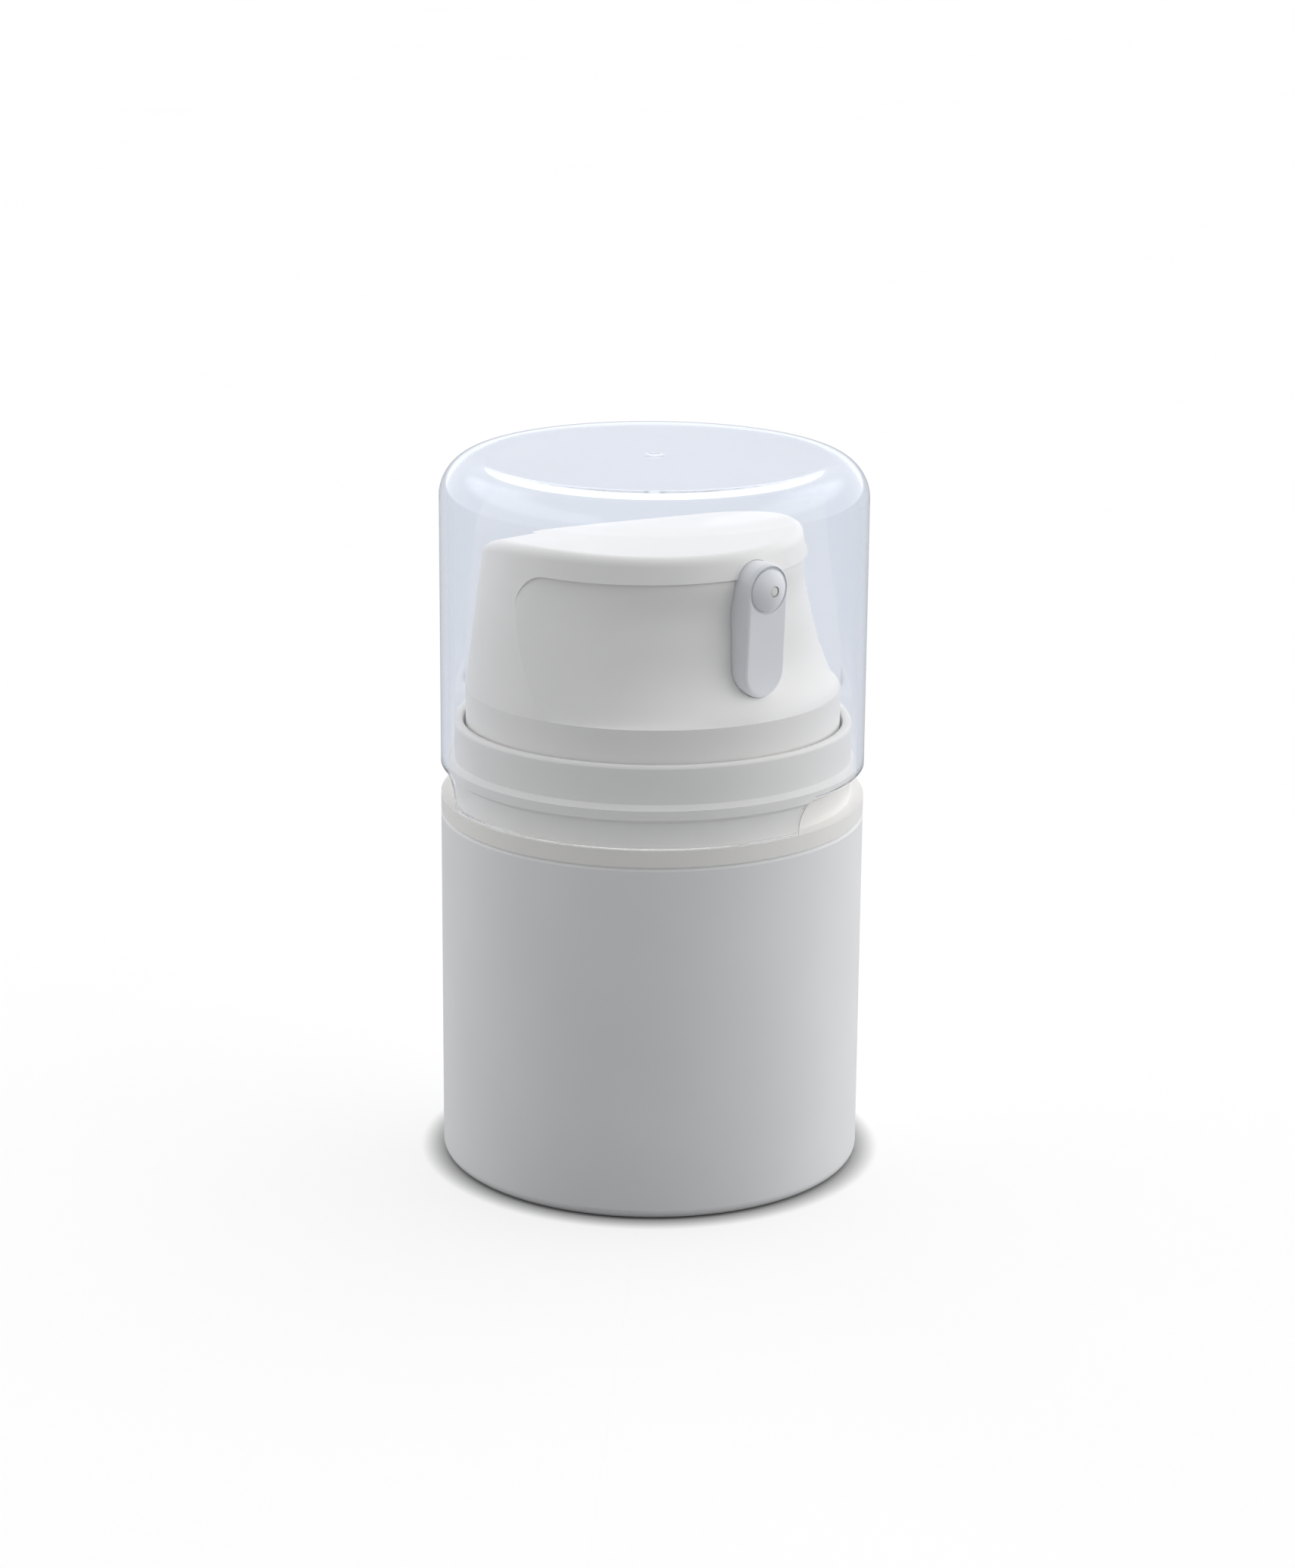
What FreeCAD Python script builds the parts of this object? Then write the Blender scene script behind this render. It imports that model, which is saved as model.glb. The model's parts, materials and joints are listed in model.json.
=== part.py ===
# Airless pump bottle in millimetres: +Z up, origin at the centre of the base, nozzle facing -Y.
import FreeCAD, Part
import math
import os

Vec = FreeCAD.Vector
UP = Vec(0, 0, 1)
FRONT = Vec(0, -1, 0)

# Fits: assembled pieces, sliding pieces, and the play left at the end of a travel
FIT = 0.05
SLIDE = 0.05
STOP_PLAY = 0.1

# Bottle and its snap-in base
BODY_DIAMETER = 50.0
BOTTLE_HEIGHT = 42.5
BOTTLE_WALL = 1.8
FOOT_ROUND = 1.2
JOINT_EDGE = 0.25
SNAP_HEIGHT = 0.3
SNAP_LENGTH = 1.2
BASE_RECESS = 0.8
BASE_THICKNESS = 1.5
VENT_DIAMETER = 2.0

# Follower piston
FOLLOWER_HEIGHT = 9.0
FOLLOWER_WALL = 1.1
FOLLOWER_WAIST = 0.9
FOLLOWER_DECK_DROP = 1.4
WELL_DIAMETER = 20.4
WELL_FLOOR_RISE = 0.8

# Over-cap
CAP_HEIGHT = 40.3
CAP_WALL = 0.8
CAP_ROOF = 0.8
CAP_ROUND = 4.7
GATE_DIAMETER = 2.0
GATE_DEPTH = 0.25
NOTCH_WIDTH = 28.0
NOTCH_HEIGHT = 3.6
NOTCH_ROUND = 2.2
NOTCH_TURN = 36.0

# Collar
FLANGE_HEIGHT = 2.2
FLANGE_SKIRT = 0.7
COLLAR_RISE = 9.5
COLLAR_WALL = 1.1
COLLAR_RIM_ROUND = 0.45
CAP_GAP = 0.75
BEAD_LEVEL = 3.9
BEAD_LENGTH = 2.2

# Pump carrier and its gasket
CARRIER_PLATE = 1.5
CARRIER_PLUG_DEPTH = 3.6
CARRIER_PLUG_WALL = 1.4
CARRIER_LIP = 0.8
CARRIER_RING_WALL = 1.3
CARRIER_RING_STEP = 0.4
RING_SNAP = 0.2
SLEEVE_WALL = 1.4
SLEEVE_RISE = 2.5
SLEEVE_DROP = 1.0
GASKET_THICKNESS = 0.4

# Pump
HEAD_STROKE = 5.0
LOST_MOTION = 0.65
CYLINDER_BORE = 14.0
CYLINDER_WALL = 1.3
CYLINDER_FLOOR = 1.5
CYLINDER_FLANGE = 1.2
CYLINDER_RISE = 7.2
CHAMBER_PLAY = 0.3
INLET_DIAMETER = 3.6
VALVE_DIAMETER = 6.2
VALVE_THICKNESS = 0.7
VALVE_LIFT = 0.8
VALVE_NUB = 0.4
NEST_WALL = 1.2
SEAT_THICKNESS = 1.4
GUIDE_DEPTH = 2.4
GUIDE_FLANGE = 1.0
STEM_DIAMETER = 5.2
STEM_BORE = 2.8
STEM_SHOULDER = 0.8
STEM_SHOULDER_DIAMETER = 8.0
STEM_SLOT = 1.2
STEM_SLOT_HEIGHT = 1.6
PLUG_FLANGE = 1.2
PLUG_DIAMETER = 9.0
PLUG_PIN_LENGTH = 4.0
PLUG_FLAT = 0.8
PISTON_HEIGHT = 5.5
PISTON_LIP = 1.1
PISTON_WEB = 1.2
PISTON_SLEEVE = 1.2
PISTON_RELIEF = 0.85

# Return spring and its cap
SPRING_WIRE = 0.9
SPRING_SIDE_GAP = 0.45
SPRING_TURNS = 6
SPRING_END_GAP = 0.5
SPRING_CAP_THICKNESS = 1.0
SPRING_LAND = 0.8
SPRING_SAMPLES = 48

# Press-down head
HEAD_GAP = 0.3
HEAD_WALL = 1.3
SKIRT_DIP = 1.4
SKIRT_CLEAR = 0.4
BAND_SHOWN = 3.8
HEAD_RISE = 19.0
HEAD_TOP_RADIUS = 18.4
HEAD_TOP_SHIFT = 1.9
HEAD_TOP_ROUND = 1.3
HEAD_SPARE = 4.0
# Top of the head from back to front: distance towards the nozzle, depth below the front edge
WAVE = [(-26.0, 5.4), (-19.0, 4.75), (-13.0, 2.65), (-9.0, 1.25), (-4.0, 0.55), (4.0, 0.25), (26.0, 0.0)]
SOCKET_WALL = 1.6
RIB_THICKNESS = 1.0
RIB_DROP = 6.0

# Scoop in the front of the head
SCOOP_FRONT = 16.75
SCOOP_RISE = 15.7
SCOOP_SIDE = 18.2
SCOOP_FLARE = 3.9
SCOOP_FLARE_POWER = 1.2
SCOOP_COVE = 6.0
SCOOP_LEDGE = 0.4
SCOOP_HOLLOW = 2.8
SCOOP_STEP = 1.3
SCOOP_STEP_FROM = 75.0
SCOOP_STEP_TO = 105.0
SCOOP_BACK = 1.6
SCOOP_CORNER = 4.0

# Nozzle bar, outlet dome and closing pin
NOZZLE_RISE = 14.4
NOZZLE_WIDTH = 6.2
NOZZLE_LENGTH = 15.8
NOZZLE_STAND = 2.55
NOZZLE_SINK = 0.8
NOZZLE_EDGE = 0.5
NOZZLE_LEAN = 2.5
DOME_DIAMETER = 5.0
DOME_HEIGHT = 1.0
DOME_GROOVE = 0.3
ORIFICE_DIAMETER = 1.3
SPIGOT_LENGTH = 4.0
SPIGOT_WALL = 0.6
DUCT_WALL = 1.0
DUCT_BORE = 1.8
PIN_DIAMETER = 2.2
PIN_TIP_LENGTH = 1.5
PIN_TRAVEL = 0.5
PIN_FLUTE = 0.6

# Radii that the pieces share
body_r = BODY_DIAMETER / 2
bore_r = body_r - BOTTLE_WALL
cap_in_r = body_r - CAP_WALL
collar_r = cap_in_r - CAP_GAP
collar_in_r = collar_r - COLLAR_WALL
head_r = collar_in_r - HEAD_GAP
ring_r = collar_in_r - CARRIER_RING_STEP
skirt_in_r = body_r - FLANGE_SKIRT
cyl_bore_r = CYLINDER_BORE / 2
cyl_r = cyl_bore_r + CYLINDER_WALL
sleeve_in_r = cyl_r + FIT
sleeve_r = sleeve_in_r + SLEEVE_WALL
stem_r = STEM_DIAMETER / 2
spring_r = cyl_r + SPRING_SIDE_GAP + SPRING_WIRE / 2
spring_land_r = spring_r + SPRING_WIRE / 2 + SPRING_LAND
nest_r = VALVE_DIAMETER / 2 + SLIDE
spigot_bore_r = PIN_DIAMETER / 2 + SLIDE
spigot_r = spigot_bore_r + SPIGOT_WALL

# Levels, from the base up
base_top_z = BASE_RECESS + BASE_THICKNESS
follower_z = base_top_z + STOP_PLAY
joint_z = BOTTLE_HEIGHT
flange_z = joint_z + FLANGE_HEIGHT
cap_top_z = flange_z + CAP_HEIGHT
collar_z = flange_z + COLLAR_RISE
skirt_z = collar_z - SKIRT_DIP
crease_z = collar_z + BAND_SHOWN
head_top_z = crease_z + HEAD_RISE
nozzle_z = crease_z + NOZZLE_RISE
plate_z = joint_z - CARRIER_PLATE
lip_z = joint_z + GASKET_THICKNESS
ring_z = skirt_z - HEAD_STROKE - SKIRT_CLEAR
sleeve_top_z = joint_z + SLEEVE_RISE
cyl_flange_z = sleeve_top_z + GASKET_THICKNESS
spring_seat_z = cyl_flange_z + CYLINDER_FLANGE
cyl_top_z = spring_seat_z + CYLINDER_RISE
guide_z = cyl_top_z - GUIDE_DEPTH
shoulder_z = guide_z - STOP_PLAY - STEM_SHOULDER
piston_top_z = shoulder_z - LOST_MOTION - STOP_PLAY
piston_z = piston_top_z - PISTON_HEIGHT
plug_top_z = piston_z - FIT
plug_z = plug_top_z - PLUG_FLANGE
floor_z = plug_z - HEAD_STROKE - CHAMBER_PLAY
nest_z = floor_z - CYLINDER_FLOOR
valve_z = nest_z - STOP_PLAY - VALVE_LIFT - VALVE_NUB - VALVE_THICKNESS
seat_z = valve_z - SEAT_THICKNESS
spring_cap_z = cyl_top_z + GUIDE_FLANGE + HEAD_STROKE + CHAMBER_PLAY
socket_z = spring_cap_z + SPRING_CAP_THICKNESS + FIT
stem_top_z = nozzle_z - spigot_r - DUCT_WALL

# Distances from the axis towards the nozzle
nozzle_seat = SCOOP_FRONT - NOZZLE_SINK
nozzle_face = SCOOP_FRONT + NOZZLE_STAND
pin_back = nozzle_seat - SPIGOT_LENGTH + PIN_TRAVEL + STOP_PLAY


def outline(corners):
    """Flat face in the XZ plane. A corner is (x, z), or (x, z, radius) where it is rounded."""
    points = [Vec(corner[0], 0, corner[1]) for corner in corners]
    arrive, leave, edges = [], [], []
    for index, corner in enumerate(corners):
        here = points[index]
        if len(corner) < 3:
            arrive.append(here)
            leave.append(here)
            continue
        back = (points[index - 1] - here).normalize()
        ahead = (points[(index + 1) % len(points)] - here).normalize()
        half_angle = back.getAngle(ahead) / 2
        reach = corner[2] / math.tan(half_angle)
        middle = (back + ahead).normalize()
        arrive.append(here + back * reach)
        leave.append(here + ahead * reach)
        arc_middle = here + middle * (corner[2] / math.sin(half_angle) - corner[2])
        edges.append(Part.Arc(arrive[-1], arc_middle, leave[-1]).toShape())
    for index, start in enumerate(leave):
        end = arrive[(index + 1) % len(points)]
        if start.distanceToPoint(end) > 1e-6:
            edges.append(Part.LineSegment(start, end).toShape())
    return Part.Face(Part.Wire(Part.__sortEdges__(edges)))


def turned(corners):
    """Solid of revolution about Z from an outline of radius and height."""
    return outline(corners).revolve(Vec(0, 0, 0), UP, 360)


def ring(inner, outer, low, high):
    return turned([(inner, low), (outer, low), (outer, high), (inner, high)])


def rod(radius, low, high):
    return Part.makeCylinder(radius, high - low, Vec(0, 0, low), UP)


def snap(radius, level, height, length):
    """Corners of a snap bead, from the bottom up. A groove for it is the same with a fit added."""
    return [(radius, level - length / 2), (radius + height, level), (radius, level + length / 2)]


def along_nozzle(shape):
    """Turns a shape made along Z to lie along the nozzle, with its Z as distance from the axis."""
    shape.rotate(Vec(0, 0, 0), Vec(1, 0, 0), 90)
    shape.translate(Vec(0, 0, nozzle_z))
    return shape


def spread(shape, count, turn=0.0):
    """Copies of a shape, evenly spaced round Z."""
    copies = []
    for index in range(count):
        copy = shape.copy()
        copy.rotate(Vec(0, 0, 0), UP, turn + 360.0 * index / count)
        copies.append(copy)
    return copies


base_snap_z = BASE_RECESS + BASE_THICKNESS / 2
carrier_snap_z = plate_z - CARRIER_PLUG_DEPTH / 2


def bottle_body():
    groove = SNAP_HEIGHT + FIT
    return turned(
        [
            (bore_r, 0),
            (body_r, 0, FOOT_ROUND),
            (body_r, joint_z - JOINT_EDGE),
            (body_r - JOINT_EDGE, joint_z),
            (bore_r, joint_z),
        ]
        + snap(bore_r, carrier_snap_z, groove, SNAP_LENGTH + 2 * FIT)[::-1]
        + snap(bore_r, base_snap_z, groove, SNAP_LENGTH + 2 * FIT)[::-1]
    )


def base_plug():
    edge_r = bore_r - FIT
    return turned(
        [(VENT_DIAMETER / 2, BASE_RECESS), (edge_r, BASE_RECESS)]
        + snap(edge_r, base_snap_z, SNAP_HEIGHT, SNAP_LENGTH)
        + [(edge_r, base_top_z), (VENT_DIAMETER / 2, base_top_z)]
    )


def follower_piston():
    lip_r = bore_r - SLIDE
    wall_r = lip_r - FOLLOWER_WAIST
    inner_r = wall_r - FOLLOWER_WALL
    top = follower_z + FOLLOWER_HEIGHT
    deck = top - FOLLOWER_DECK_DROP
    well_r = WELL_DIAMETER / 2
    floor = follower_z + WELL_FLOOR_RISE
    lip_slope = FOLLOWER_WAIST * 2
    return turned(
        [
            (0, floor),
            (well_r + FOLLOWER_WALL, floor),
            (well_r + FOLLOWER_WALL, deck - FOLLOWER_WALL),
            (inner_r, deck - FOLLOWER_WALL),
            (inner_r, follower_z + lip_slope),
            (lip_r - FOLLOWER_WALL / 2, follower_z),
            (lip_r, follower_z),
            (wall_r, follower_z + lip_slope),
            (wall_r, top - lip_slope),
            (lip_r, top),
            (lip_r - FOLLOWER_WALL / 2, top),
            (inner_r, deck),
            (well_r, deck),
            (well_r, floor + FOLLOWER_WALL),
            (0, floor + FOLLOWER_WALL),
        ]
    )


def overcap():
    roof_z = cap_top_z - CAP_ROOF
    shell = turned(
        [
            (cap_in_r, flange_z),
            (body_r, flange_z),
            (body_r, cap_top_z, CAP_ROUND),
            (GATE_DIAMETER / 2, cap_top_z),
            (0, cap_top_z - GATE_DEPTH),
            (0, roof_z),
            (cap_in_r, roof_z, CAP_ROUND - CAP_WALL),
        ]
    )
    half = NOTCH_WIDTH / 2
    low = flange_z - NOTCH_ROUND
    high = flange_z + NOTCH_HEIGHT
    notch = outline(
        [(-half, low), (half, low), (half, high, NOTCH_ROUND), (-half, high, NOTCH_ROUND)]
    ).extrude(FRONT * BODY_DIAMETER)
    return shell.cut(spread(notch, 2, NOTCH_TURN))


def collar():
    groove = snap(ring_r + FIT, ring_z - SNAP_LENGTH, RING_SNAP + FIT, SNAP_LENGTH + 2 * FIT)
    bead_r = cap_in_r - SLIDE
    bead_z = flange_z + BEAD_LEVEL
    under_z = lip_z + CARRIER_LIP + FIT
    return turned(
        [
            (skirt_in_r, joint_z),
            (body_r - JOINT_EDGE, joint_z),
            (body_r, joint_z + JOINT_EDGE),
            (body_r, flange_z),
            (collar_r, flange_z),
            (collar_r, bead_z - BEAD_LENGTH / 2),
            (bead_r, bead_z - BEAD_LENGTH / 4),
            (bead_r, bead_z + BEAD_LENGTH / 4),
            (collar_r, bead_z + BEAD_LENGTH / 2),
            (collar_r, collar_z, COLLAR_RIM_ROUND),
            (collar_in_r, collar_z, COLLAR_RIM_ROUND),
            (collar_in_r, ring_z + FIT),
            (ring_r + FIT, ring_z + FIT),
        ]
        + groove[::-1]
        + [(ring_r + FIT, under_z), (skirt_in_r, under_z)]
    )


def pump_carrier():
    plug_r = bore_r - FIT
    plug_low = plate_z - CARRIER_PLUG_DEPTH
    ring_in_r = ring_r - CARRIER_RING_WALL
    lip_top = lip_z + CARRIER_LIP
    sleeve_low = plate_z - SLEEVE_DROP
    return turned(
        [(plug_r - CARRIER_PLUG_WALL, plug_low), (plug_r, plug_low)]
        + snap(plug_r, carrier_snap_z, SNAP_HEIGHT, SNAP_LENGTH)
        + [
            (plug_r, lip_z),
            (skirt_in_r - FIT, lip_z),
            (skirt_in_r - FIT, lip_top),
            (ring_r, lip_top),
        ]
        + snap(ring_r, ring_z - SNAP_LENGTH, RING_SNAP, SNAP_LENGTH)
        + [
            (ring_r, ring_z),
            (ring_in_r, ring_z),
            (ring_in_r, joint_z),
            (sleeve_r, joint_z),
            (sleeve_r, sleeve_top_z),
            (sleeve_in_r, sleeve_top_z),
            (sleeve_in_r, sleeve_low),
            (sleeve_r, sleeve_low),
            (sleeve_r, plate_z),
            (plug_r - CARRIER_PLUG_WALL, plate_z),
        ]
    )


def carrier_gasket():
    return ring(bore_r, skirt_in_r - FIT, joint_z, lip_z)


def pump_cylinder():
    nest_outer = nest_r + NEST_WALL
    return turned(
        [
            (INLET_DIAMETER / 2, nest_z),
            (nest_r, nest_z),
            (nest_r, seat_z),
            (nest_outer, seat_z),
            (nest_outer, nest_z),
            (cyl_r, nest_z, CYLINDER_WALL / 2),
            (cyl_r, cyl_flange_z),
            (spring_land_r, cyl_flange_z),
            (spring_land_r, spring_seat_z),
            (cyl_r, spring_seat_z),
            (cyl_r, cyl_top_z),
            (cyl_bore_r, cyl_top_z),
            (cyl_bore_r, floor_z),
            (INLET_DIAMETER / 2, floor_z),
        ]
    )


def cylinder_gasket():
    return ring(sleeve_in_r, sleeve_r, sleeve_top_z, cyl_flange_z)


def inlet_seat():
    return ring(INLET_DIAMETER / 2, nest_r - FIT, seat_z, valve_z)


def inlet_valve():
    disc = rod(VALVE_DIAMETER / 2, valve_z + FIT, valve_z + FIT + VALVE_THICKNESS)
    top = valve_z + FIT + VALVE_THICKNESS
    nub = rod(VALVE_NUB, top, top + VALVE_NUB)
    nub.translate(Vec((INLET_DIAMETER + VALVE_DIAMETER) / 4, 0, 0))
    return disc.fuse(spread(nub, 3))


def stem_guide():
    return turned(
        [
            (stem_r + SLIDE, guide_z),
            (cyl_bore_r - FIT, guide_z),
            (cyl_bore_r - FIT, cyl_top_z),
            (cyl_r, cyl_top_z),
            (cyl_r, cyl_top_z + GUIDE_FLANGE),
            (stem_r + SLIDE, cyl_top_z + GUIDE_FLANGE),
        ]
    )


def plunger_stem():
    shoulder_r = STEM_SHOULDER_DIAMETER / 2
    stem = turned(
        [
            (STEM_BORE / 2, plug_top_z),
            (stem_r, plug_top_z),
            (stem_r, shoulder_z),
            (shoulder_r, shoulder_z),
            (shoulder_r, shoulder_z + STEM_SHOULDER),
            (stem_r, shoulder_z + STEM_SHOULDER),
            (stem_r, stem_top_z),
            (STEM_BORE / 2, stem_top_z),
        ]
    )
    slot = Part.makeBox(STEM_DIAMETER, STEM_SLOT, STEM_SLOT_HEIGHT)
    slot.translate(Vec(-stem_r, -STEM_SLOT / 2, plug_top_z))
    return stem.cut(slot)


def stem_plug():
    pin = rod(STEM_BORE / 2 - FIT, plug_top_z, plug_top_z + PLUG_PIN_LENGTH)
    flats = Part.makeBox(2 * PLUG_FLAT, STEM_BORE, PLUG_PIN_LENGTH)
    flats.translate(Vec(-PLUG_FLAT, -STEM_BORE / 2, plug_top_z))
    return rod(PLUG_DIAMETER / 2, plug_z, plug_top_z).fuse(pin.common(flats))


def pump_piston():
    inner_r = stem_r + SLIDE
    sleeve_out = inner_r + PISTON_SLEEVE
    lip_r = cyl_bore_r - SLIDE
    wall_r = lip_r - PISTON_LIP / 2
    wall_in_r = wall_r - PISTON_LIP / 2
    web_low = (piston_z + piston_top_z - PISTON_WEB) / 2
    web_high = web_low + PISTON_WEB
    return turned(
        [
            (inner_r + PISTON_RELIEF, piston_z),
            (sleeve_out, piston_z),
            (sleeve_out, web_low),
            (wall_in_r, web_low),
            (lip_r - PISTON_LIP / 2, piston_z),
            (lip_r, piston_z),
            (wall_r, piston_z + 2 * PISTON_LIP),
            (wall_r, piston_top_z - 2 * PISTON_LIP),
            (lip_r, piston_top_z),
            (lip_r - PISTON_LIP / 2, piston_top_z),
            (wall_in_r, web_high),
            (sleeve_out, web_high),
            (sleeve_out, piston_top_z),
            (inner_r, piston_top_z),
            (inner_r, web_low),
            (inner_r + PISTON_RELIEF, web_low),
        ]
    )


def spring_cap():
    top = spring_cap_z + SPRING_CAP_THICKNESS
    return turned(
        [
            (stem_r, spring_cap_z),
            (spring_land_r, spring_cap_z),
            (spring_land_r, top),
            (stem_r, top),
        ]
    )


def arc_from(start, tangent, end):
    """Arc that leaves start along a unit tangent and goes through end."""
    chord = end - start
    chord_way = chord * (1 / chord.Length)
    side = (tangent - chord_way * tangent.dot(chord_way)).normalize()
    rise = chord.Length / 2 * math.tan(tangent.getAngle(chord) / 2)
    return Part.Arc(start, (start + end) * 0.5 + side * rise, end).toShape()


def biarc(start, start_way, end, end_way):
    """Two tangent arcs that join two points with given unit tangents."""
    gap = end - start
    both = start_way + end_way
    bend = 2 * (1 - start_way.dot(end_way))
    along = gap.dot(both)
    reach = (math.sqrt(along * along + bend * gap.dot(gap)) - along) / bend
    joint = (start + end + (start_way - end_way) * reach) * 0.5
    back = arc_from(end, end_way * -1, joint)
    return [arc_from(start, start_way, joint), back]


def spring_height(turn):
    """Height of the wire's middle above its first point: closed end turns, open ones between."""
    total = spring_cap_z - spring_seat_z - SPRING_WIRE - 2 * FIT
    end_pitch = SPRING_WIRE + SPRING_END_GAP
    open_pitch = (total - 2 * end_pitch) / (SPRING_TURNS - 2)
    opened = min(max(turn - 1, 0), SPRING_TURNS - 2)
    return end_pitch * (turn - opened) + open_pitch * opened


def return_spring():
    steps = 2 * SPRING_TURNS
    start_z = spring_seat_z + FIT + SPRING_WIRE / 2

    def place(turn):
        angle = 2 * math.pi * turn
        return Vec(spring_r * math.cos(angle), spring_r * math.sin(angle), start_z + spring_height(turn))

    def way(turn):
        angle = 2 * math.pi * turn
        rise = (spring_height(turn + 0.125) - spring_height(turn - 0.125)) / (math.pi / 2)
        return Vec(-spring_r * math.sin(angle), spring_r * math.cos(angle), rise).normalize()

    edges = []
    for step in range(steps):
        begin = step / 2
        end = begin + 0.5
        edges += biarc(place(begin), way(begin), place(end), way(end))
    path = Part.Wire(Part.__sortEdges__(edges))
    section = Part.Wire(Part.makeCircle(SPRING_WIRE / 2, place(0), way(0)))
    samples = [place(index / SPRING_SAMPLES) for index in range(SPRING_SAMPLES * SPRING_TURNS + 1)]
    least = min(
        samples[first].distanceToPoint(samples[second])
        for first in range(len(samples))
        for second in range(first + SPRING_SAMPLES // 2, len(samples))
    )
    print("least gap between spring turns", round(least - SPRING_WIRE, 3))
    return path.makePipeShell([section], True, False)


def circle_wire(radius, shift, level):
    return Part.Wire(Part.makeCircle(radius, Vec(0, shift, level), UP))


def head_cone(inset):
    """Oblique cone of the head, carried on above its top, with the upper circle set back."""
    carry = (HEAD_RISE + HEAD_SPARE) / HEAD_RISE
    upper_r = head_r + (HEAD_TOP_RADIUS - head_r) * carry - inset
    lower = circle_wire(head_r - inset, 0, crease_z)
    upper = circle_wire(upper_r, HEAD_TOP_SHIFT * carry, head_top_z + HEAD_SPARE)
    return Part.makeLoft([lower, upper], True, True)


def above_wave(inset):
    """Everything over the wave-shaped top, which runs straight from side to side."""
    top = head_top_z - inset
    line = Part.BSplineCurve()
    line.interpolate([Vec(-BODY_DIAMETER, -reach, top - drop) for reach, drop in WAVE])
    first, last = line.StartPoint, line.EndPoint
    lift = UP * (HEAD_SPARE + BODY_DIAMETER)
    over = Part.makePolygon([first, first + lift, last + lift, last])
    face = Part.Face(Part.Wire([line.toShape()] + over.Edges))
    return face.extrude(Vec(2 * BODY_DIAMETER, 0, 0))


def scoop_wire(front, side, hollow, level):
    """Level section of the scoop: side is its radius, drawn in to front at the nozzle, out behind."""
    points = []
    for angle in range(-180, 180, 15):
        towards = max(math.cos(math.radians(angle)), 0) ** hollow
        behind = (abs(angle) - SCOOP_STEP_FROM) / (SCOOP_STEP_TO - SCOOP_STEP_FROM)
        radius = side - (side - front) * towards + SCOOP_STEP * min(max(behind, 0), 1)
        way = Vec(math.sin(math.radians(angle)), -math.cos(math.radians(angle)), 0)
        points.append(way * radius + UP * level)
    line = Part.BSplineCurve()
    line.interpolate(points, True)
    return Part.Wire(line.toShape())


def scoop(inset):
    """What is taken from the front half of the head: a cove under the brim that opens to the sides."""
    low = crease_z - inset
    high = crease_z + SCOOP_RISE + inset
    sections = []
    for angle in (0.0, 22.5, 45.0, 67.5, 90.0):
        spread_out = 1 - math.sin(math.radians(angle))
        level = low + SCOOP_COVE * (1 - math.cos(math.radians(angle)))
        sections.append((level, SCOOP_FRONT + (head_r - SCOOP_LEDGE - SCOOP_FRONT) * spread_out))
    wall_z = sections[-1][0]
    for share in (1 / 3, 2 / 3, 1):
        sections.append((wall_z + (high - wall_z) * share, SCOOP_FRONT))
    wires = []
    for level, front in sections:
        flare = max(low + SCOOP_RISE - level, 0) / SCOOP_RISE
        side = SCOOP_SIDE + SCOOP_FLARE * flare ** SCOOP_FLARE_POWER
        hollow = 1 + (SCOOP_HOLLOW - 1) * flare
        wires.append(scoop_wire(front - inset, side - inset, hollow, level))
    kept = Part.makeLoft(wires, True, False)
    block = outline(
        [
            (-SCOOP_BACK - inset, low),
            (BODY_DIAMETER, low),
            (BODY_DIAMETER, high),
            (-SCOOP_BACK - inset, high, SCOOP_CORNER),
        ]
    )
    block.translate(Vec(0, -BODY_DIAMETER, 0))
    block = block.extrude(Vec(0, 2 * BODY_DIAMETER, 0))
    block.rotate(Vec(0, 0, 0), UP, -90)
    return block.cut(kept)


def head_form(inset, low):
    band = rod(head_r - inset, low, crease_z)
    return head_cone(inset).fuse(band).cut(above_wave(inset))


def stadium(radius, start, end):
    """Upright bar with round ends, on the nozzle's axis at its top."""
    top = nozzle_z + radius
    bottom = nozzle_z + NOZZLE_WIDTH - NOZZLE_LENGTH - radius
    face = outline(
        [(-radius, bottom, radius), (radius, bottom, radius), (radius, top, radius), (-radius, top, radius)]
    )
    face.translate(FRONT * start)
    return face.extrude(FRONT * (end - start))


def actuator():
    outer = head_form(0, skirt_z)
    crown = max(outer.Faces, key=lambda face: face.CenterOfMass.z)
    outer = outer.makeFillet(HEAD_TOP_ROUND, crown.Edges)
    outer = outer.cut(scoop(0))
    hollow = head_form(HEAD_WALL, skirt_z - HEAD_WALL).cut(scoop(HEAD_WALL))
    socket = rod(stem_r + SLIDE + SOCKET_WALL, socket_z, head_top_z)
    duct = along_nozzle(rod(spigot_r + FIT + DUCT_WALL, 0, SCOOP_FRONT))
    rib = Part.makeBox(head_r, RIB_THICKNESS, HEAD_RISE, Vec(0, -RIB_THICKNESS / 2, nozzle_z - RIB_DROP))
    ribs = spread(rib, 4)[:3]
    pin_stop = nozzle_seat - SPIGOT_LENGTH - FIT
    bores = [
        rod(stem_r + SLIDE, socket_z, stem_top_z + FIT),
        rod(STEM_BORE / 2, stem_top_z, nozzle_z),
        along_nozzle(rod(DUCT_BORE / 2, 0, nozzle_seat)),
        along_nozzle(rod(spigot_r + FIT, pin_stop, nozzle_face)),
        stadium(NOZZLE_WIDTH / 2 + FIT, nozzle_seat, BODY_DIAMETER),
    ]
    return outer.cut(hollow.cut([socket, duct] + ribs)).cut(bores)


dome_apex = nozzle_face + DOME_HEIGHT
chamber_end = dome_apex - PIN_TIP_LENGTH


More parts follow.
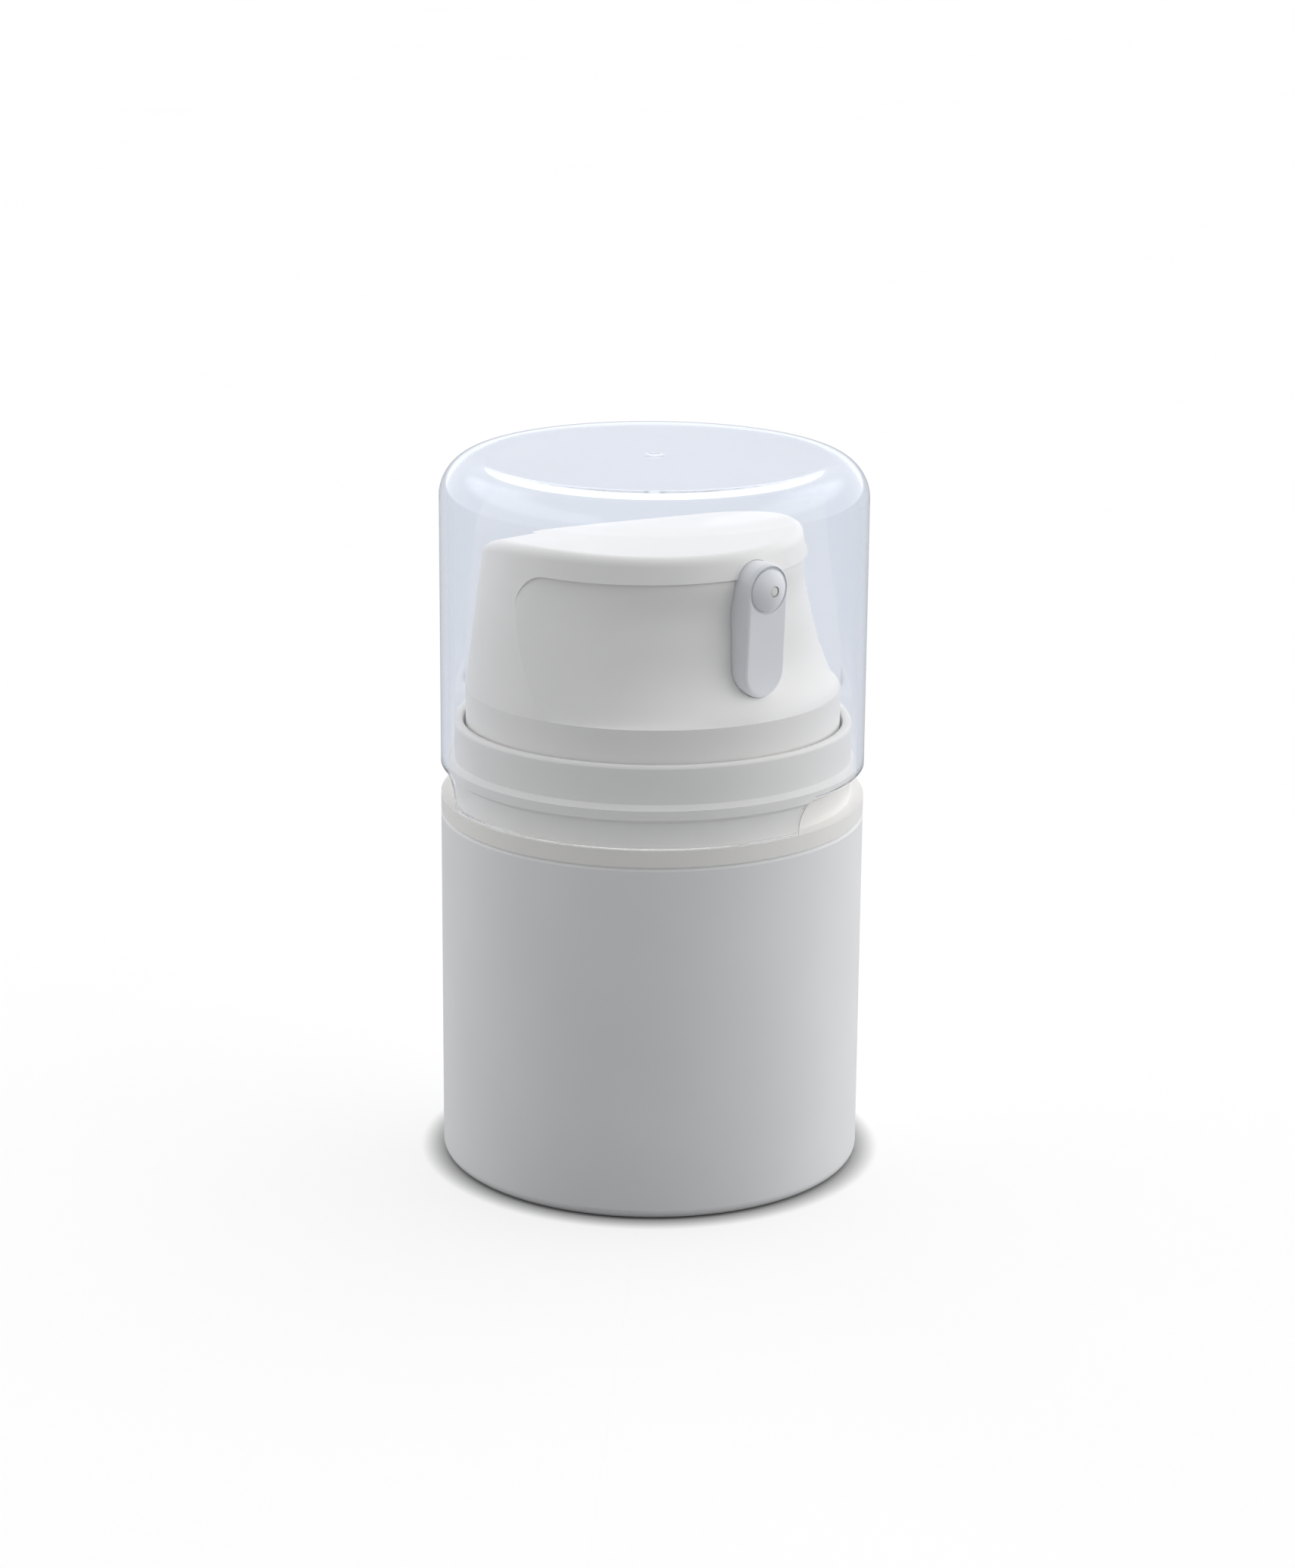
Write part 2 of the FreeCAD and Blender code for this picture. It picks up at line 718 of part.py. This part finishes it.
def nozzle_insert():
    bar = stadium(NOZZLE_WIDTH / 2, nozzle_seat, nozzle_face + NOZZLE_STAND)
    ahead = Part.makeBox(BODY_DIAMETER, BODY_DIAMETER, 2 * BODY_DIAMETER)
    ahead.translate(Vec(-body_r, -nozzle_face - BODY_DIAMETER, nozzle_z - BODY_DIAMETER))
    ahead.rotate(Vec(0, -nozzle_face, nozzle_z), Vec(1, 0, 0), NOZZLE_LEAN)
    bar = bar.cut(ahead)
    front = min(bar.Faces, key=lambda face: face.CenterOfMass.y)
    bar = bar.makeFillet(NOZZLE_EDGE, front.Edges)
    dome_r = DOME_DIAMETER / 2
    dome_ball = (dome_r ** 2 + DOME_HEIGHT ** 2) / (2 * DOME_HEIGHT)
    ball = along_nozzle(Part.makeSphere(dome_ball, Vec(0, 0, dome_apex - dome_ball)))
    dome = ball.common(along_nozzle(rod(dome_r, nozzle_face - DOME_GROOVE, dome_apex)))
    groove = along_nozzle(ring(dome_r, dome_r + DOME_GROOVE, nozzle_face - DOME_GROOVE, dome_apex))
    spigot = along_nozzle(rod(spigot_r, nozzle_seat - SPIGOT_LENGTH, nozzle_face - DOME_GROOVE))
    bores = [
        along_nozzle(rod(spigot_bore_r, nozzle_seat - SPIGOT_LENGTH, chamber_end)),
        along_nozzle(rod(ORIFICE_DIAMETER / 2, chamber_end, dome_apex)),
    ]
    return bar.cut(groove).fuse([dome, spigot]).cut(bores)


def outlet_valve():
    pin_r = PIN_DIAMETER / 2
    tip_r = ORIFICE_DIAMETER / 2 - SLIDE
    pin = turned(
        [
            (0, pin_back),
            (pin_r, pin_back),
            (pin_r, chamber_end - FIT),
            (tip_r, chamber_end - FIT),
            (tip_r, dome_apex - STOP_PLAY, tip_r / 2),
            (0, dome_apex - STOP_PLAY),
        ]
    )
    flute = Part.makeBox(pin_r, PIN_FLUTE, dome_apex, Vec(pin_r - PIN_FLUTE, -PIN_FLUTE / 2, 0))
    body_end = rod(pin_r, 0, chamber_end - 2 * PIN_FLUTE)
    flutes = [copy.common(body_end) for copy in spread(flute, 3)]
    return along_nozzle(pin.cut(flutes))


PIECES = [
    bottle_body,
    base_plug,
    follower_piston,
    collar,
    pump_carrier,
    carrier_gasket,
    pump_cylinder,
    cylinder_gasket,
    inlet_seat,
    inlet_valve,
    stem_guide,
    plunger_stem,
    stem_plug,
    pump_piston,
    spring_cap,
    return_spring,
    actuator,
    nozzle_insert,
    outlet_valve,
    overcap,
]

os.makedirs("parts", exist_ok=True)
for piece in PIECES:
    solid = piece()
    print(piece.__name__, solid.isValid(), len(solid.Solids), round(solid.Volume, 2))
    solid.exportStep("parts/" + piece.__name__ + ".step")
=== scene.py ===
# Airless pump bottle: materials, clear cap, return spring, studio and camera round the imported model
import json
import math

import bpy
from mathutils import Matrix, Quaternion, Vector


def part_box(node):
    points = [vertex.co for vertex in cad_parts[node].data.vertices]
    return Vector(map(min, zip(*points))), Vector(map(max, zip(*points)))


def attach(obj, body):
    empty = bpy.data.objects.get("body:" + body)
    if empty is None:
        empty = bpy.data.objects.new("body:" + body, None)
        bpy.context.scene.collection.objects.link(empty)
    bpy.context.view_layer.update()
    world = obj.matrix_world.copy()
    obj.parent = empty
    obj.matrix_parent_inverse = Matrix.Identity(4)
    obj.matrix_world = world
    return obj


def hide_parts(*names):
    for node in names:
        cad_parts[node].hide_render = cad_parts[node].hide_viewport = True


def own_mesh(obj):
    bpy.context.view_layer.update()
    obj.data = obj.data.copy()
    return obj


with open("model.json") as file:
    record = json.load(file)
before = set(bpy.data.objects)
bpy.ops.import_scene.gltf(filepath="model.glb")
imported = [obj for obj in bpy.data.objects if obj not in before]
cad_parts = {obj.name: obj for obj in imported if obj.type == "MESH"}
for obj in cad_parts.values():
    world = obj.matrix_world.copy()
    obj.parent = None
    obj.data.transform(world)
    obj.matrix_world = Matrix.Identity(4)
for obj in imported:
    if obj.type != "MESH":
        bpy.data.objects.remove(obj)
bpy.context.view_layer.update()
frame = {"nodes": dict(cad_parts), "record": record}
nodes = frame["nodes"]

# Camera, found from the photograph: image size in pixels, focal length in pixels, metres and degrees
IMAGE_HEIGHT = 2067
FOCAL_PIXELS = 5000
SENSOR = 36.0
VIEW_AZIMUTH = -42.0
VIEW_ELEVATION = 16.2
VIEW_ROLL = 0.42
VIEW_DISTANCE = 0.45
AIM = Vector((0, 0, 0.0453))
AIM_LEFT = 0.00056

# Studio: how bright the surroundings are in each direction, as seen from the camera
LIGHT_ALL_ROUND = 1.0
LIGHT_FROM_BACK = 0.84
LIGHT_FROM_RIGHT = 0.33
LIGHT_FROM_ABOVE = -0.41
LIGHT_FROM_SIDES = 1.3
LIGHT_LEAST = 0.11
BOUNCES = 64

# What clear plastic and gloss show of the white surroundings: pale tones, and a soft light box on each side
FLOOR_PALE = (0.44, 0.48, 0.56)
SKY_PALE = (0.64, 0.665, 0.72)
GLOSS_SHOWN = 0.5
BOX_STRENGTH = 0.7
BOX_LOW = (0.3, 0.5)
BOX_HIGH = (0.7, 0.85)
BOX_SIDE = (0.3, 0.5)

# Floor: metres, grey where it lights, white where it is seen, with painted shade on its glow where it meets the base
FLOOR_SIZE = 8.0
FLOOR_GREY = 0.3
FLOOR_CLOUDING = 0.01
FLOOR_CLOUD_SCALE = 12.0
FLOOR_ROUGHNESS = 0.9
FLOOR_GLOW = 0.69
PAINTED_SHADE_REACH = 0.003
PAINTED_SHADE_POWER = 2.5

# Textures: noise scales per metre, depths in metres, gloss, and how dark the darker places of a colour are
NOISE_MIDDLE = (0.3, 0.7)
NOISE_DETAIL = 2.0
PLASTIC_IOR = 1.49
CLOUD_SCALE = 60.0
CLOUD_SHADE = 0.96
GLOSS_SCALE = 140.0
GLOSS_SPREAD = 0.05
GRAIN_SCALE = 900.0
SOFT_GRAIN_SCALE = 500.0
GRAIN_DETAIL = 4.0
GRAIN_DEPTH = 0.00002
GRAIN_STRENGTH = 0.15
CLEAR_CLOUD_SCALE = 40.0
CLEAR_SHADE = 0.97
CLEAR_GLOSS_SCALE = 90.0
FOAM_SCALE = 2500.0
FOAM_DETAIL = 3.0
FOAM_SHADE = 0.7
FOAM_ROUGHNESS = (0.75, 0.9)
FOAM_DEPTH = 0.00005
FOAM_STRENGTH = 0.5
WIRE_SCALE = 1800.0
WIRE_DETAIL = 3.0
WIRE_SHADE = 0.8
WIRE_ROUGHNESS = (0.2, 0.38)

# Clear cap, in metres: walls and rounds as in the solid, with bevelled edges on its rim and round its two notches
CAP_WALL = 0.0008
CAP_ROOF = 0.0008
CAP_ROUND = 0.0047
CAP_EDGE = 0.00025
CAP_REST = 0.00005
GATE_RADIUS = 0.001
GATE_DEPTH = 0.00025
NOTCH_WIDTH = 0.029
NOTCH_HEIGHT = 0.0036
NOTCH_ROUND = 0.003
NOTCH_SIDE = 0.00002
NOTCH_ANGLES = (math.radians(-54), math.radians(126))
OVER_NOTCH = 0.001
BEFORE_NOTCH = 0.0005
ROUND_STEPS = 24
CORNER_STEPS = 12
COLUMN_STEP = math.radians(1.5)
FLAT_RING = 0.0003
SHARP_ANGLE = math.radians(30)

# Return spring: its wire and the pitch of its closed end turns in metres, its number of turns, and the steps and
# sides of its mesh
SPRING_WIRE = 0.0009
SPRING_TURNS = 6
SPRING_END_PITCH = 0.0014
STEPS_PER_TURN = 48
WIRE_SIDES = 12

back_way = Vector((-math.sin(math.radians(VIEW_AZIMUTH)), math.cos(math.radians(VIEW_AZIMUTH)), 0))
right_way = Vector((back_way.y, -back_way.x, 0))
up_way = Vector((0, 0, 1))


def new_material(name):
    material = bpy.data.materials.new(f"look_{name}")
    material.use_nodes = True
    return material, material.node_tree


def link(tree, source, target):
    tree.links.new(source, target)


def noise(tree, scale, detail=NOISE_DETAIL):
    """Noise in the object's own metres."""
    place = tree.nodes.new("ShaderNodeTexCoord")
    texture = tree.nodes.new("ShaderNodeTexNoise")
    texture.inputs["Scale"].default_value = scale
    texture.inputs["Detail"].default_value = detail
    link(tree, place.outputs["Object"], texture.inputs["Vector"])
    return texture.outputs["Fac"]


def spread_value(tree, source, low, high):
    """A value that runs from low to high with the middle of a noise."""
    node = tree.nodes.new("ShaderNodeMapRange")
    for name, number in zip(("From Min", "From Max", "To Min", "To Max"), (*NOISE_MIDDLE, low, high)):
        node.inputs[name].default_value = number
    link(tree, source, node.inputs["Value"])
    return node.outputs["Result"]


def spread_colour(tree, source, low, high):
    """A colour that runs from low to high with the middle of a noise."""
    node = tree.nodes.new("ShaderNodeValToRGB")
    for end, place, colour in zip(node.color_ramp.elements, NOISE_MIDDLE, (low, high)):
        end.position = place
        end.color = (*colour, 1)
    link(tree, source, node.inputs["Fac"])
    return node.outputs["Color"]


def darker(colour, share):
    return tuple(share * part for part in colour)


def add_bump(tree, shader, source, depth, strength):
    node = tree.nodes.new("ShaderNodeBump")
    node.inputs["Distance"].default_value = depth
    node.inputs["Strength"].default_value = strength
    link(tree, source, node.inputs["Height"])
    link(tree, node.outputs["Normal"], shader.inputs["Normal"])


def moulded(name, colour, roughness, grain=GRAIN_SCALE):
    """Moulded white plastic: faint clouding, uneven gloss and a fine grain."""
    material, tree = new_material(name)
    shader = tree.nodes["Principled BSDF"]
    clouds = spread_colour(tree, noise(tree, CLOUD_SCALE), darker(colour, CLOUD_SHADE), colour)
    gloss = spread_value(tree, noise(tree, GLOSS_SCALE), roughness - GLOSS_SPREAD, roughness + GLOSS_SPREAD)
    link(tree, clouds, shader.inputs["Base Color"])
    link(tree, gloss, shader.inputs["Roughness"])
    add_bump(tree, shader, noise(tree, grain, GRAIN_DETAIL), GRAIN_DEPTH, GRAIN_STRENGTH)
    shader.inputs["IOR"].default_value = PLASTIC_IOR
    return material


def clear_moulded(name, colour, roughness):
    """Clear moulded plastic that lets light through to what it covers."""
    material, tree = new_material(name)
    shader = tree.nodes["Principled BSDF"]
    clouds = spread_colour(tree, noise(tree, CLEAR_CLOUD_SCALE), darker(colour, CLEAR_SHADE), colour)
    gloss = spread_value(tree, noise(tree, CLEAR_GLOSS_SCALE), roughness, 2 * roughness)
    link(tree, clouds, shader.inputs["Base Color"])
    link(tree, gloss, shader.inputs["Roughness"])
    shader.inputs["Transmission Weight"].default_value = 1
    shader.inputs["IOR"].default_value = PLASTIC_IOR
    through = tree.nodes.new("ShaderNodeBsdfTransparent")
    path = tree.nodes.new("ShaderNodeLightPath")
    surface = shader.outputs["BSDF"]
    for ray in ("Is Diffuse Ray", "Is Shadow Ray"):
        either = tree.nodes.new("ShaderNodeMixShader")
        link(tree, path.outputs[ray], either.inputs["Fac"])
        link(tree, surface, either.inputs[1])
        link(tree, through.outputs["BSDF"], either.inputs[2])
        surface = either.outputs["Shader"]
    link(tree, surface, tree.nodes["Material Output"].inputs["Surface"])
    return material


def foam(name, colour):
    """Closed-cell foam, matt and pitted."""
    material, tree = new_material(name)
    shader = tree.nodes["Principled BSDF"]
    cells = noise(tree, FOAM_SCALE, FOAM_DETAIL)
    link(tree, spread_colour(tree, cells, darker(colour, FOAM_SHADE), colour), shader.inputs["Base Color"])
    link(tree, spread_value(tree, cells, *FOAM_ROUGHNESS), shader.inputs["Roughness"])
    add_bump(tree, shader, cells, FOAM_DEPTH, FOAM_STRENGTH)
    return material


def drawn_wire(name, colour):
    """Bright drawn steel with uneven gloss."""
    material, tree = new_material(name)
    shader = tree.nodes["Principled BSDF"]
    shader.inputs["Metallic"].default_value = 1
    streaks = noise(tree, WIRE_SCALE, WIRE_DETAIL)
    link(tree, spread_colour(tree, streaks, darker(colour, WIRE_SHADE), colour), shader.inputs["Base Color"])
    link(tree, spread_value(tree, streaks, *WIRE_ROUGHNESS), shader.inputs["Roughness"])
    return material


def make_materials():
    """Materials by slot: colour, and roughness where it differs from piece to piece."""
    return {
        "body_white": moulded("body_white", (0.84, 0.845, 0.86), 0.42),
        "base_white": moulded("base_white", (0.82, 0.82, 0.83), 0.5),
        "collar_white": moulded("collar_white", (0.885, 0.878, 0.862), 0.36),
        "head_white": moulded("head_white", (0.89, 0.88, 0.865), 0.36),
        "nozzle_white": moulded("nozzle_white", (0.83, 0.845, 0.875), 0.34),
        "inner_white": moulded("inner_white", (0.82, 0.82, 0.8), 0.45),
        "soft_white": moulded("soft_white", (0.84, 0.84, 0.81), 0.55, SOFT_GRAIN_SCALE),
        "gasket_grey": foam("gasket_grey", (0.5, 0.51, 0.53)),
        "spring_steel": drawn_wire("spring_steel", (0.62, 0.62, 0.63)),
        "cap_clear": clear_moulded("cap_clear", (0.955, 0.96, 0.968), 0.015),
    }


def dress_nodes(materials):
    for part in frame["record"]["subparts"]:
        mesh = nodes[part["node"]].data
        mesh.materials.clear()
        mesh.materials.append(materials[part["material_slot"]])


def add_mesh(name, points, faces, material):
    mesh = bpy.data.meshes.new(name)
    mesh.from_pydata(points, [], faces)
    mesh.materials.append(material)
    piece = bpy.data.objects.new(name, mesh)
    bpy.context.scene.collection.objects.link(piece)
    return piece


def notch_end(radius):
    """Points from the plain rim into a notch: angle from the notch's end, height, and the way into the plastic."""
    points = [(-BEFORE_NOTCH / radius, 0, 0, 1), (0, 0, -1, 1)]
    for step in range(CORNER_STEPS + 1):
        turn = math.pi / 2 * step / CORNER_STEPS
        inward = NOTCH_SIDE + NOTCH_ROUND * (1 - math.cos(turn))
        rise = NOTCH_HEIGHT - NOTCH_ROUND + NOTCH_ROUND * math.sin(turn)
        points.append((inward / radius, rise, -math.cos(turn), math.sin(turn)))
    return points


def between(start, end, height):
    """Even points between two angles of the rim, without the ends."""
    count = math.ceil((end - start) / COLUMN_STEP)
    return [(start + (end - start) * step / count, height, 0, 1) for step in range(1, count)]


def rim_line(radius):
    """Once round the cap's rim: angle, height above the rim, and the way into the plastic, along and up."""
    half = math.asin(NOTCH_WIDTH / 2 / radius)
    end = notch_end(radius)
    line = []
    for middle, after in zip(NOTCH_ANGLES, (*NOTCH_ANGLES[1:], NOTCH_ANGLES[0] + 2 * math.pi)):
        into = [(middle - half + angle, rise, along_rim, up) for angle, rise, along_rim, up in end]
        out = [(middle + half - angle, rise, -along_rim, up) for angle, rise, along_rim, up in reversed(end)]
        line += into + between(into[-1][0], out[0][0], NOTCH_HEIGHT) + out
        line += between(out[-1][0], after - half + end[0][0], 0)
    return line


def rounded(radius, height, size):
    """Radius and height along a round, from the wall to the roof."""
    turns = [math.pi / 2 * step / ROUND_STEPS for step in range(ROUND_STEPS + 1)]
    return [(radius - size + size * math.cos(turn), height - size + size * math.sin(turn)) for turn in turns]


def cap_profiles(outer, rim, top):
    """Radius and height of the cap's outside and inside, from above the notches to the middle."""
    inner = outer - CAP_WALL
    roof = top - CAP_ROOF
    clear = rim + NOTCH_HEIGHT + OVER_NOTCH
    over = [(outer, clear), *rounded(outer, top, CAP_ROUND)]
    over += [(over[-1][0] - FLAT_RING, top), (GATE_RADIUS + FLAT_RING, top), (GATE_RADIUS, top)]
    under = [(inner, clear), *rounded(inner, roof, CAP_ROUND - CAP_WALL)]
    under += [(under[-1][0] - FLAT_RING, roof), (outer / 2, roof)]
    return over, under


def cap_columns(outer, rim, top):
    """Once round the cap: the points of its outside and of its inside, as angle, radius and height."""
    inner = outer - CAP_WALL
    over, under = cap_profiles(outer, rim, top)
    columns = []
    for angle, rise, along_rim, up in rim_line(outer):
        bevel = (angle + along_rim * CAP_EDGE / outer, rim + rise + up * CAP_EDGE)
        outside = [(angle, outer - CAP_EDGE, rim + rise), (bevel[0], outer, bevel[1])]
        inside = [(angle, inner + CAP_EDGE, rim + rise), (bevel[0], inner, bevel[1])]
        outside += [(angle, radius, height) for radius, height in over]
        inside += [(angle, radius, height) for radius, height in under]
        columns.append((outside, inside))
    return columns


def cap_faces(count, rows, total):
    """Faces between columns of points, of which rows lie outside. Points 0 and 1 are the middles of gate and roof."""
    faces = []
    for number in range(count):
        here = 2 + number * total
        there = 2 + (number + 1) % count * total
        for row in range(rows - 1):
            faces.append((here + row, there + row, there + row + 1, here + row + 1))
        faces.append((here + rows - 1, there + rows - 1, 0))
        for row in range(rows, total - 1):
            faces.append((here + row, here + row + 1, there + row + 1, there + row))
        faces.append((here + total - 1, 1, there + total - 1))
        faces.append((here, here + rows, there + rows, there))
    return faces


def make_cap(material):
    """Clear cap with bevelled edges, in the place of the solid one."""
    low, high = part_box("overcap")
    columns = cap_columns((high.x - low.x) / 2, low.z + CAP_REST, high.z)
    points = [(0, 0, high.z - GATE_DEPTH), (0, 0, high.z - CAP_ROOF)]
    for outside, inside in columns:
        for angle, radius, height in outside + inside:
            points.append((radius * math.cos(angle), radius * math.sin(angle), height))
    outside, inside = columns[0]
    faces = cap_faces(len(columns), len(outside), len(outside) + len(inside))
    cap = add_mesh("clear_cap", points, faces, material)
    cap.data.shade_smooth()
    cap.data.set_sharp_from_angle(angle=SHARP_ANGLE)
    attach(cap, "cap")
    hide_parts("overcap")


def spring_height(turn, rise):
    """Height of the wire's middle above its first point: closed end turns, open ones between."""
    open_pitch = (rise - 2 * SPRING_END_PITCH) / (SPRING_TURNS - 2)
    opened = min(max(turn - 1, 0), SPRING_TURNS - 2)
    return SPRING_END_PITCH * (turn - opened) + open_pitch * opened


def wire_points(radius, low, rise, count):
    """Rings of points along the wound wire."""
    points = []
    for step in range(count):
        turn = step / STEPS_PER_TURN
        angle = 2 * math.pi * turn
        out = Vector((math.cos(angle), math.sin(angle), 0))
        middle = out * radius + Vector((0, 0, low + SPRING_WIRE / 2 + spring_height(turn, rise)))
        for side in range(WIRE_SIDES):
            around = 2 * math.pi * side / WIRE_SIDES
            across = out * math.cos(around) + Vector((0, 0, math.sin(around)))
            points.append(middle + across * SPRING_WIRE / 2)
    return points


def wire_faces(count):
    """Faces between the rings, and one on each end of the wire."""
    faces = []
    for step in range(count - 1):
        for side in range(WIRE_SIDES):
            here = step * WIRE_SIDES
            after = (side + 1) % WIRE_SIDES
            faces.append((here + side, here + WIRE_SIDES + side, here + WIRE_SIDES + after, here + after))
    faces.append(tuple(range(WIRE_SIDES)))
    faces.append(tuple(reversed(range((count - 1) * WIRE_SIDES, count * WIRE_SIDES))))
    return faces


def make_spring(material):
    """Wound wire spring on the bottle, in the place of the solid one."""
    low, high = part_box("return_spring")
    radius = (high.x - low.x - SPRING_WIRE) / 2
    rise = high.z - low.z - SPRING_WIRE
    count = STEPS_PER_TURN * SPRING_TURNS + 1
    spring = add_mesh("wound_spring", wire_points(radius, low.z, rise, count), wire_faces(count), material)
    spring.data.shade_smooth()
    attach(spring, "bottle")
    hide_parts("return_spring")
    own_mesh(spring)


def maths(tree, operation, first, second):
    """Math node on two values, each a socket or a number."""
    node = tree.nodes.new("ShaderNodeMath")
    node.operation = operation
    for target, value in zip(node.inputs, (first, second)):
        if isinstance(value, (int, float)):
            target.default_value = value
        else:
            link(tree, value, target)
    return node.outputs["Value"]


def along(tree, place, way):
    """How far a place or direction reaches along a way."""
    node = tree.nodes.new("ShaderNodeVectorMath")
    node.operation = "DOT_PRODUCT"
    node.inputs[1].default_value = way
    link(tree, place, node.inputs[0])
    return node.outputs["Value"]


def ramp(tree, value, ends, low, high):
    """A soft change from low to high between two ends of a value."""
    node = tree.nodes.new("ShaderNodeMapRange")
    node.interpolation_type = "SMOOTHSTEP"
    for name, number in zip(("From Min", "From Max", "To Min", "To Max"), (*ends, low, high)):
        node.inputs[name].default_value = number
    link(tree, value, node.inputs["Value"])
    return node.outputs["Result"]


def seen_rays(tree):
    """1 for what the camera sees, for what it sees through clear plastic, and for what it sees in a gloss."""
    path = tree.nodes.new("ShaderNodeLightPath")
    before = maths(tree, "LESS_THAN", path.outputs["Diffuse Depth"], 0.5)
    through = maths(tree, "MULTIPLY", path.outputs["Is Transmission Ray"], before)
    gloss = maths(tree, "MULTIPLY", path.outputs["Is Glossy Ray"], before)
    return path.outputs["Is Camera Ray"], through, gloss


def shown_colour(tree, bent, pale):
    """White, and pale where it is seen through clear plastic or in a gloss."""
    colour = tree.nodes.new("ShaderNodeMix")
    colour.data_type = "RGBA"
    colour.inputs["A"].default_value = (1, 1, 1, 1)
    colour.inputs["B"].default_value = (*pale, 1)
    link(tree, bent, colour.inputs["Factor"])
    return colour.outputs["Result"]


def make_world():
    """White where it is seen, and bright behind and at the sides with a dark camera side where it lights."""
    world = bpy.data.worlds.new("studio")
    bpy.context.scene.world = world
    world.use_nodes = True
    tree = world.node_tree
    shader = tree.nodes["Background"]
    place = tree.nodes.new("ShaderNodeTexCoord").outputs["Generated"]
    aside = along(tree, place, right_way)
    height = along(tree, place, up_way)
    light = LIGHT_ALL_ROUND
    for value, amount in (
        (along(tree, place, back_way), LIGHT_FROM_BACK),
        (aside, LIGHT_FROM_RIGHT),
        (height, LIGHT_FROM_ABOVE),
        (maths(tree, "MULTIPLY", aside, aside), LIGHT_FROM_SIDES),
    ):
        light = maths(tree, "ADD", maths(tree, "MULTIPLY", value, amount), light)
    light = maths(tree, "MAXIMUM", light, LIGHT_LEAST)
    box = maths(tree, "MULTIPLY", ramp(tree, height, BOX_LOW, 0, 1), ramp(tree, height, BOX_HIGH, 1, 0))
    sideways = ramp(tree, maths(tree, "ABSOLUTE", aside, 0), BOX_SIDE, 0, BOX_STRENGTH)
    sky = maths(tree, "ADD", maths(tree, "MULTIPLY", box, sideways), 1)
    camera, through, gloss = seen_rays(tree)
    bent = maths(tree, "ADD", through, gloss)
    link(tree, shown_colour(tree, bent, SKY_PALE), shader.inputs["Color"])
    strength = tree.nodes.new("ShaderNodeMix")
    link(tree, maths(tree, "ADD", camera, bent), strength.inputs["Factor"])
    link(tree, light, strength.inputs["A"])
    link(tree, maths(tree, "ADD", camera, maths(tree, "MULTIPLY", bent, sky)), strength.inputs["B"])
    link(tree, strength.outputs["Result"], shader.inputs["Strength"])


def make_floor():
    """Pale floor that keeps the object's shadow, white where it is seen and grey where it lights, with painted shade
    on its glow where it meets the base.
    """
    material, tree = new_material("floor_pale")
    material.cycles.emission_sampling = "NONE"
    shader = tree.nodes["Principled BSDF"]
    shader.inputs["Roughness"].default_value = FLOOR_ROUGHNESS
    shader.inputs["Specular IOR Level"].default_value = 0
    dark, light = (FLOOR_GREY - FLOOR_CLOUDING,) * 3, (FLOOR_GREY,) * 3
    link(tree, spread_colour(tree, noise(tree, FLOOR_CLOUD_SCALE), dark, light), shader.inputs["Base Color"])
    camera, through, gloss = seen_rays(tree)
    bent = maths(tree, "ADD", through, gloss)
    link(tree, shown_colour(tree, bent, FLOOR_PALE), shader.inputs["Emission Color"])
    shown = maths(tree, "ADD", maths(tree, "ADD", camera, through), maths(tree, "MULTIPLY", gloss, GLOSS_SHOWN))
    # Painted contact shade: ambient occlusion darkens the floor's glow where it meets the base
    openness = tree.nodes.new("ShaderNodeAmbientOcclusion")
    openness.inputs["Distance"].default_value = PAINTED_SHADE_REACH
    painted_contact_shade = maths(tree, "POWER", openness.outputs["AO"], PAINTED_SHADE_POWER)
    glow = maths(tree, "MULTIPLY", maths(tree, "MULTIPLY", shown, painted_contact_shade), FLOOR_GLOW)
    link(tree, glow, shader.inputs["Emission Strength"])
    half = FLOOR_SIZE / 2
    corners = [(-half, -half, 0), (half, -half, 0), (half, half, 0), (-half, half, 0)]
    floor = add_mesh("floor", corners, [(0, 1, 2, 3)], material)


def make_camera():
    """Camera at the photograph's place."""
    data = bpy.data.cameras.new("camera")
    data.sensor_width = SENSOR
    data.lens = SENSOR * FOCAL_PIXELS / IMAGE_HEIGHT
    camera = bpy.data.objects.new("camera", data)
    bpy.context.scene.collection.objects.link(camera)
    lift = math.radians(VIEW_ELEVATION)
    towards = -back_way * math.cos(lift) + up_way * math.sin(lift)
    camera.location = AIM - right_way * AIM_LEFT + towards * VIEW_DISTANCE
    camera.rotation_mode = "QUATERNION"
    roll = Quaternion((0, 0, 1), math.radians(VIEW_ROLL))
    camera.rotation_quaternion = (-towards).to_track_quat("-Z", "Y") @ roll
    bpy.context.scene.camera = camera


materials = make_materials()
dress_nodes(materials)
make_cap(materials["cap_clear"])
make_spring(materials["spring_steel"])
make_world()
make_floor()
make_camera()
bpy.context.scene.view_settings.view_transform = "Standard"
bpy.context.scene.cycles.max_bounces = BOUNCES
bpy.context.scene.cycles.glossy_bounces = BOUNCES
bpy.context.scene.cycles.transmission_bounces = BOUNCES
